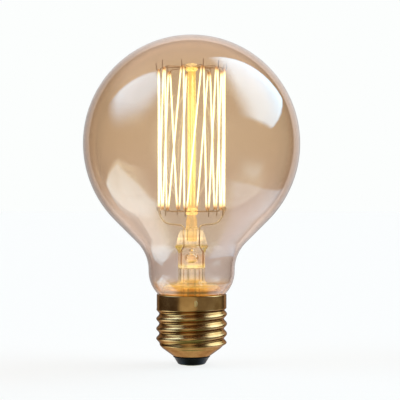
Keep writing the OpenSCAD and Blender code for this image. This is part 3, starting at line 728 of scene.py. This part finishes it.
def press_light(place):
    """Pale light down both edges of the fan, and a warm ring at each end of the round plug."""
    turned = Matrix.Rotation(math.radians(-CAGE_TURN), 3, "Z") @ place
    half = mix(PINCH_FOOT_R, PINCH_TOP_R, (place.z - PINCH_FOOT_Z) / (PINCH_Z - PINCH_FOOT_Z))
    fan = ease((place.z - SLOPE_Z - 1.2) / 1.5)
    edge = fan * ease((abs(turned.x) / half - 0.8) / 0.18) * hump(place.z, PINCH_Z - 2.0, 2.6)
    plug = ease((place.z - PLUG_Z - 0.8) / 0.8) * (1 - ease((place.z - SLOPE_Z + 2.5) / 2))
    top, foot = hump(place.z, SLOPE_Z - 0.4, 0.9), hump(place.z, PLUG_Z + 0.6, 0.8)
    return summed((edge, FAN_EDGE_LIGHT), (top, PLUG_TOP_LIGHT), (foot, PLUG_FOOT_LIGHT), (fan, FAN_LIGHT),
                  (plug, PLUG_LIGHT), (1, PRESS_LIGHT))


press = lofted([press_section(*ring) for ring in curve_through(PRESS_RINGS, 3)], 96)
bubble_outline = [(r * BUBBLE_R, BUBBLE_Z + z * BUBBLE_H) for r, z in arc(0, 0, 1, -90, 90, 10)]
bubble = spun(bubble_outline, 32, ring=False)
bmesh.ops.reverse_faces(bubble, faces=bubble.faces[:])
finished("stem_press", lit(joined(press, bubble), press_light), stem_glass, "stem_glass", "pinch")


def rod_light(place):
    """Lemon light up the rod, and amber in its foot, which is dimmer inside the press."""
    risen = ease((place.z - ROD_FADE_Z) / 8)
    shown = mix(FADED, 1, ease((place.z - PINCH_Z + 0.5) / 1.5))
    return summed((shown * (1 - risen), ROD_FOOT_LIGHT), (shown * risen, ROD_TOP_LIGHT))


ROD_STEPS, ROD_TOP_Z = 12, SEAT_TOP_Z + ARM_RISE
rod_outline = [
    (0, PINCH_Z - ROD_SET), (ROD_FOOT_R - 0.3, PINCH_Z - ROD_SET), (ROD_FOOT_R, PINCH_Z - ROD_SET + 0.3),
    (ROD_FOOT_R, PINCH_Z - 0.1), (ROD_FOOT_R + 0.35, PINCH_Z + 0.1), (ROD_FOOT_R + 0.1, PINCH_Z + 0.6),
    (ROD_FOOT_R, PINCH_Z + 1.2), (ROD_FOOT_R, PINCH_Z + 2.9), (ROD_FOOT_R - 0.12, PINCH_Z + 3.5),
    (ROD_R + 0.1, PINCH_Z + 4.5), (ROD_R, PINCH_Z + 5.0)]
rod_outline += [(ROD_R, mix(PINCH_Z + 5, ROD_TOP_Z, i / ROD_STEPS)) for i in range(1, ROD_STEPS + 1)]
rod_outline += [(0, ROD_TOP_Z)]
rod = lit(spun(rod_outline, 48, ring=False), rod_light)
finished("stem_rod", rod, rod_glass, "rod_glass", "centre_rod")


def bead(z):
    half, fillet = BEAD_H / 2, 0.8
    outline = ([(0, z - half)] + arc(BEAD_R - fillet, z - half + fillet, fillet, -90, 0, 15)
               + arc(BEAD_R - fillet, z + half - fillet, fillet, 0, 90, 15) + [(0, z + half)])
    return lit(spun(outline, 48, ring=False), lambda place: BEAD_LIGHT)


finished("cage_upper_bead", bead(ROD_TOP_Z), rod_glass, "rod_glass", "upper_bead")
finished("cage_lower_bead", bead(SEAT_LOW_Z - ARM_RISE), rod_glass, "rod_glass", "lower_bead")


# Cage

HALF = UPPER_COUNT // 2
STEP = 360 / UPPER_COUNT


def drift(k):
    return SCATTER * sind(150 * k + 40)


def upper_turn(k):
    even = CAGE_TURN + STEP * (k - 0.5)
    return even + CROWDING * (0.4 + cosd(even - CROWD_AT)) + drift(k)


def lower_turn(k):
    return CAGE_TURN + STEP * (k if k < HALF else k + 1) + drift(k + 20)


def support_path(seat_z, side, turn, k):
    """Arm, seat and upturned end of a support, as seen with the seat below the arm."""
    end, lean = HOOK_H * (1 + 0.15 * sind(137 * k)), 0.2 * sind(97 * k)
    flat = [
        (ARM_START_R, ARM_RISE), (mix(ARM_START_R, CAGE_R, 0.5), ARM_RISE), (CAGE_R - 1.3, ARM_RISE * 0.9),
        (CAGE_R - 0.6, 0.4), (CAGE_R, 0), (CAGE_R + 0.6, 0.4), (CAGE_R + 0.85, ARM_RISE),
        (CAGE_R + 0.85 + lean, ARM_RISE + end)]
    return curve_through([in_plane((r, seat_z + side * h), turn) for r, h in flat], 5)


for k in range(1, UPPER_COUNT + 1):
    hook = tube(support_path(SEAT_TOP_Z, 1, upper_turn(k), k), SUPPORT_R)
    finished(f"cage_upper_hook_{k}", hook, support_metal, "support_wire", f"upper_support_{k}")
for k in range(1, UPPER_COUNT - 1):
    hook = tube(support_path(SEAT_LOW_Z, -1, lower_turn(k), k + UPPER_COUNT), SUPPORT_R)
    finished(f"cage_lower_hook_{k}", hook, support_metal, "support_wire", f"lower_support_{k}")


def bend(turn, z, side):
    """Half a turn of the filament round its support."""
    ring = [along(turn) * cosd(angle) + up(side * sind(angle)) for angle in range(180, -1, -15)]
    return [out(turn) * CAGE_R + spoke * BEND_R + up(z) for spoke in ring]


def filament_path(first):
    start_turn = CAGE_TURN + (0 if first == 1 else 180)
    end_turn = start_turn + 180
    start = out(start_turn) * CAGE_R + along(start_turn) * CLAMP_GAP / 2
    end = out(end_turn) * CAGE_R - along(end_turn) * CLAMP_GAP / 2
    path = [start + up(CLAMP_TOP_Z - 0.5), start + up(CLAMP_TOP_Z + 0.2)]
    for k in range(HALF):
        path += bend(upper_turn(first + k), SEAT_TOP_Z, 1)
        if k < HALF - 1:
            path += bend(lower_turn(k + (1 if first == 1 else HALF)), SEAT_LOW_Z, -1)
    return path + [end + up(CLAMP_TOP_Z + 0.2), end + up(CLAMP_TOP_Z - 0.5)]


for side, first in (("back", 1), ("front", HALF + 1)):
    finished(f"cage_filament_{side}", tube(filament_path(first), FILAMENT_R), filament_metal, "filament",
             f"filament_{side}")


# Leads and clamps

LEAD_ROUTE = [(0, 0.05), (0.1, 0.2), (0.34, 0.26), (0.6, 0.3), (0.82, 0.46), (0.95, 0.74)]
CLAMP_LOW_Z = CLAMP_TOP_Z - CLAMP_H


def inner_lead(turn):
    shaft = [(LEAD_X, PINCH_Z - 2.0), (LEAD_X, PINCH_Z - 0.8)]
    sweep = [(mix(LEAD_X, CAGE_R, a), mix(PINCH_Z, CLAMP_LOW_Z, b)) for a, b in LEAD_ROUTE]
    seat = [(CAGE_R, CLAMP_LOW_Z - 0.1), (CAGE_R, CLAMP_LOW_Z + CLAMP_H * 0.48)]
    return tube(curve_through([in_plane(p, turn) for p in shaft + sweep + seat], 5), INNER_LEAD_R, 12)


def clamp_outline():
    half = CLAMP_H / 2
    z = CLAMP_LOW_Z + half
    return ([(0, z - half)] + arc(CLAMP_R - 0.15, z - half + 0.15, 0.15, -90, 0, 30)
            + [(CLAMP_R - 0.1, z - 0.12), (CLAMP_R - 0.1, z + 0.12)]
            + arc(CLAMP_R - 0.15, z + half - 0.15, 0.15, 0, 90, 30) + [(0, z + half)])


for side, turn in (("right", CAGE_TURN), ("left", CAGE_TURN + 180)):
    finished(f"lead_{side}", inner_lead(turn), nickel, "nickel", f"inner_lead_{side}")
    clamp = spun(clamp_outline(), 32, ring=False)
    bmesh.ops.translate(clamp, verts=clamp.verts[:], vec=out(turn) * CAGE_R * MM)
    finished(f"lead_clamp_{side}", clamp, nickel, "nickel", f"clamp_{side}")
refinished(copper, "seal_wire_left", "seal_wire_right", "outer_lead_tip", "outer_lead_side")


# Studio

WHITE = (0.974, 0.991, 0.982)


def straight_view(nodes, links):
    """1 where the eye looks, straight or through glass, and 0 for light and reflections."""
    path = nodes.new("ShaderNodeLightPath")
    direct = math_node(nodes, links, "LESS_THAN", path.outputs["Glossy Depth"], 0.5)
    through = math_node(nodes, links, "MULTIPLY", path.outputs["Is Transmission Ray"], direct)
    return math_node(nodes, links, "MAXIMUM", path.outputs["Is Camera Ray"], through)


# The studio as reflections show it, by direction from the lamp, with -Y towards the eye. Each panel has its
# colour and its corners, with how softly it fades over the edge after each corner.
PANELS = {
    "right softbox": ((2.35, 4.0, 5.6), [
        ((0.247, 0.256, 0.935), 0.03), ((0.648, 0.671, 0.36), 0.03), ((0.978, 0.076, 0.194), 0.1),
        ((0.858, -0.365, 0.361), 0.5), ((0.543, -0.22, 0.811), 0.3)]),
    "left softbox": ((1.7, 3.1, 4.6), [
        ((-0.45, 0.0, 0.89), 0.1), ((-0.396, -0.357, 0.846), 0.4), ((-0.607, -0.535, 0.588), 0.6),
        ((-0.864, -0.354, 0.358), 0.5), ((-0.93, 0.1, 0.33), 0.3), ((-0.813, 0.295, 0.501), 0.08)]),
    "left card": ((0.84, 1.32, 1.62), [
        ((-0.966, -0.066, -0.25), 0.1), ((-0.763, -0.27, -0.584), 0.15), ((-0.46, -0.19, -0.87), 0.3),
        ((-0.46, 0.304, -0.834), 0.4), ((-0.691, 0.535, -0.486), 0.04), ((-0.81, 0.463, -0.36), 0.04)]),
    "left card middle": ((0.42, 0.68, 0.86), [
        ((-0.93, -0.05, -0.37), 0.2), ((-0.763, -0.27, -0.584), 0.15), ((-0.46, -0.19, -0.87), 0.3),
        ((-0.46, 0.25, -0.84), 0.3), ((-0.8, 0.2, -0.56), 0.25)]),
    "right card": ((0.45, 0.8, 1.2), [
        ((0.629, 0.723, -0.286), 0.04), ((0.836, 0.219, -0.5), 0.04), ((0.796, -0.207, -0.567), 0.06),
        ((0.616, -0.507, -0.602), 0.2), ((0.408, 0.214, -0.886), 0.3), ((0.45, 0.6, -0.66), 0.3)]),
    "right glint": ((0.55, 0.95, 1.2), [
        ((0.81, -0.5, -0.31), 0.3), ((0.93, -0.08, -0.3), 0.2), ((0.9, -0.1, -0.47), 0.2),
        ((0.8, -0.4, -0.49), 0.3)]),
    "front fill": ((0.58, 0.64, 0.5), [
        ((-0.72, -0.67, 0.2), 0.1), ((-0.7, -0.65, -0.3), 0.3), ((-0.3, 0.1, -0.95), 0.3),
        ((0.3, 0.1, -0.95), 0.2), ((0.39, -0.85, -0.3), 0.1), ((0.39, -0.92, 0.2), 0.2),
        ((0.3, 0.05, 0.95), 0.3), ((-0.3, 0.05, 0.95), 0.3)]),
    "low fill": ((0.13, 0.32, 0.18), [
        ((-0.5, -0.4, -0.77), 0.3), ((-0.4, 0.35, -0.85), 0.3), ((0.4, 0.35, -0.85), 0.3),
        ((0.5, -0.4, -0.77), 0.3)]),
    "right fill": ((0.2, 0.23, 0.19), [
        ((0.4, -0.87, 0.3), 0.2), ((0.4, -0.87, -0.3), 0.3), ((0.8, 0.5, -0.35), 0.3),
        ((0.8, 0.5, 0.35), 0.3)]),
}
STUDIO_LEVEL, STUDIO_TONE = 0.09, (1.0, 0.9, 0.72)
SWEEP_TONE, GROUND_TONE = (1.02, 0.99, 1.01), (1.0, 1.0, 1.0)

# The two places on an axis between which sky, ground and sweep change, and the levels there if not 0 and 1
SKY_UP, SKY_BACK = (0.4, 0.8, 0, 0.5), (-0.3, 0.3)
GROUND_DOWN, GROUND_BACK = (-0.25, -0.6, 0, 0.8), (-0.1, 0.45)
SWEEP_BACK, SWEEP_ASIDE, SWEEP_UP = (0.7, 0.76, 0, 0.9), (-0.45, -0.1, 0.6, 1), (-0.3, 0.3, 0.75, 1)
FAR_BACK = (0.99, 0.94, 0.3, 1)


def panel_mask(nodes, links, direction, corners):
    """1 inside the corners, fading over each edge."""
    points = [Vector(place) for place, softness in corners]
    middle = sum(points, Vector())
    mask = None
    for (place, softness), after in zip(corners, points[1:] + points[:1]):
        normal = Vector(place).cross(after).normalized()
        if normal.dot(middle) < 0:
            normal.negate()
        inward = nodes.new("ShaderNodeVectorMath")
        inward.operation = "DOT_PRODUCT"
        links.new(direction, inward.inputs[0])
        inward.inputs[1].default_value = normal
        side = map_node(nodes, links, inward.outputs["Value"], -softness / 2, softness / 2)
        mask = math_node(nodes, links, "MULTIPLY", mask, side) if mask else side
    return mask


def studio_colour(nodes, links):
    """Dim all round, with a pale sky, ground and sweep behind the lamp, and the panels."""
    direction = nodes.new("ShaderNodeTexCoord").outputs["Generated"]
    parts = nodes.new("ShaderNodeSeparateXYZ")
    links.new(direction, parts.inputs[0])
    aside, behind, height = parts.outputs

    def fade(value, limits):
        return map_node(nodes, links, value, *limits)

    sky = product(nodes, links, fade(height, SKY_UP), fade(behind, SKY_BACK))
    ground = product(nodes, links, fade(height, GROUND_DOWN), fade(behind, GROUND_BACK))
    sweep = product(nodes, links, fade(behind, SWEEP_BACK), fade(aside, SWEEP_ASIDE), fade(height, SWEEP_UP))
    back = product(nodes, links, math_node(nodes, links, "ADD", sky, sweep), fade(behind, FAR_BACK))
    colour = tuple(STUDIO_LEVEL * part for part in STUDIO_TONE)
    for amount, tone in ((back, SWEEP_TONE), (ground, GROUND_TONE)):
        toned = mix_node(nodes, links, 1.0, amount, tone, "MULTIPLY")
        colour = mix_node(nodes, links, 1.0, toned, colour, "ADD")
    for panel, corners in PANELS.values():
        add = nodes.new("ShaderNodeVectorMath")
        add.operation = "MULTIPLY_ADD"
        links.new(panel_mask(nodes, links, direction, corners), add.inputs[0])
        add.inputs[1].default_value = panel
        links.new(colour, add.inputs[2])
        colour = add.outputs[0]
    return colour


def studio_world():
    """The studio for light and reflections, and plain white for the eye itself."""
    world = bpy.data.worlds.new("studio")
    bpy.context.scene.world = world
    world.use_nodes = True
    nodes, links = world.node_tree.nodes, world.node_tree.links
    seen = mix_node(nodes, links, straight_view(nodes, links), studio_colour(nodes, links), WHITE)
    links.new(seen, nodes["Background"].inputs["Color"])
    nodes["Background"].inputs["Strength"].default_value = 1


# The floor's look, with half its width and its height in metres
FLOOR_SHADED, FLOOR_FILL, FLOOR_ROUGHNESS = (0.2, 0.148, 0.124), 0.82, 0.9
FLOOR_HALF, FLOOR_Z = 6, -0.00002


def floor_material():
    """A matt floor, white to the eye but for a soft shadow. Light and reflections see the studio below it."""
    material, nodes, links, shader = new_material("studio_floor")
    shader.inputs["Roughness"].default_value = FLOOR_ROUGHNESS
    shader.inputs["Specular IOR Level"].default_value = 0
    shader.inputs["Base Color"].default_value = (*FLOOR_SHADED, 1)
    shader.inputs["Emission Color"].default_value = (*WHITE, 1)
    shader.inputs["Emission Strength"].default_value = FLOOR_FILL
    choice = nodes.new("ShaderNodeMixShader")
    links.new(straight_view(nodes, links), choice.inputs[0])
    links.new(nodes.new("ShaderNodeBsdfTransparent").outputs[0], choice.inputs[1])
    links.new(shader.outputs[0], choice.inputs[2])
    links.new(choice.outputs[0], nodes["Material Output"].inputs["Surface"])
    return material


def studio_floor():
    bm = bmesh.new()
    bmesh.ops.create_grid(bm, x_segments=1, y_segments=1, size=FLOOR_HALF)
    bmesh.ops.translate(bm, verts=bm.verts[:], vec=(0, 0, FLOOR_Z))
    mesh = bpy.data.meshes.new("studio_floor")
    bm.to_mesh(mesh)
    bm.free()
    mesh.materials.append(floor_material())
    new_object("studio_floor", mesh)


studio_world()
studio_floor()

# Camera, with its distances in millimetres

CAMERA_DISTANCE, CAMERA_X, CAMERA_Z, MM_PER_PIXEL, FRAME_PIXELS = 470.0, 3.1, 60.8, 0.3698, 400
SENSOR_WIDTH = 36
camera_data = bpy.data.cameras.new("camera")
camera_data.sensor_width = SENSOR_WIDTH
camera_data.lens = SENSOR_WIDTH * CAMERA_DISTANCE / (FRAME_PIXELS * MM_PER_PIXEL)
camera = new_object("camera", camera_data)
camera.location = (CAMERA_X * MM, -CAMERA_DISTANCE * MM, CAMERA_Z * MM)
camera.rotation_euler = (math.radians(90), 0, 0)
bpy.context.scene.camera = camera
bpy.context.scene.view_settings.view_transform = "Standard"
